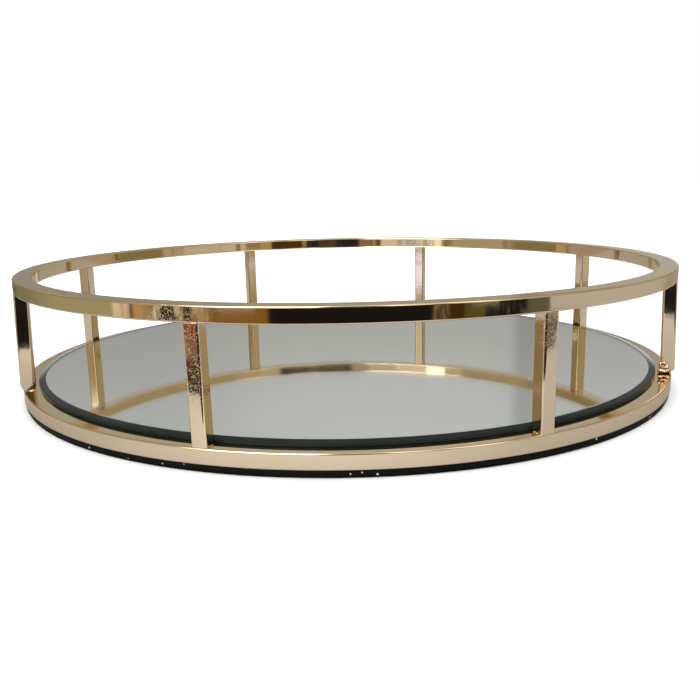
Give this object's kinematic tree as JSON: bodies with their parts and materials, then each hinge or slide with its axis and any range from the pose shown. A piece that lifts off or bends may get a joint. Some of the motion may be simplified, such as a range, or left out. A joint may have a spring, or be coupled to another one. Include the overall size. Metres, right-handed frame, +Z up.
{
  "type": "gallery vanity tray",
  "caption": "Round mirrored vanity tray with a polished gold gallery rail of square posts on a black felt-backed base.",
  "frame": {"origin": "centre of the felt's underside, on the table", "axes": "+Z up out of the tray, +X through the middle of a gap between two posts"},
  "size_m": [0.31, 0.31, 0.057],
  "materials": {
    "plated_rail": "mirror-polished champagne gold plating",
    "weld_gold": "plated over rough weld beads",
    "mirror_glass": "polished, bevelled edge",
    "silvering": "mirror",
    "black_border": "black edge paint",
    "foam_tape": "matte foam",
    "spacer_board": "raw fibreboard",
    "bare_steel": "plain sheet",
    "base_board": "black painted hardboard",
    "screw_steel": "zinc plated",
    "felt": "black felt"
  },
  "bodies": {
    "root": {"top_ring": "plated_rail", "bottom_ring": "plated_rail", "upper_weld_beads": "weld_gold", "lower_weld_beads": "weld_gold", "mirror_glass": "mirror_glass", "mirror_silvering": "silvering", "mirror_border": "black_border", "foam_tape_pads": "foam_tape", "spacer_board": "spacer_board", "support_tabs": "bare_steel", "tab_weld_beads": "bare_steel", "base_board": "base_board", "base_screws": "screw_steel", "felt_pad": "felt", "post_1": "plated_rail", "post_2": "plated_rail", "post_3": "plated_rail", "post_4": "plated_rail", "post_5": "plated_rail", "post_6": "plated_rail", "post_7": "plated_rail", "post_8": "plated_rail"}
  },
  "joints": []
}
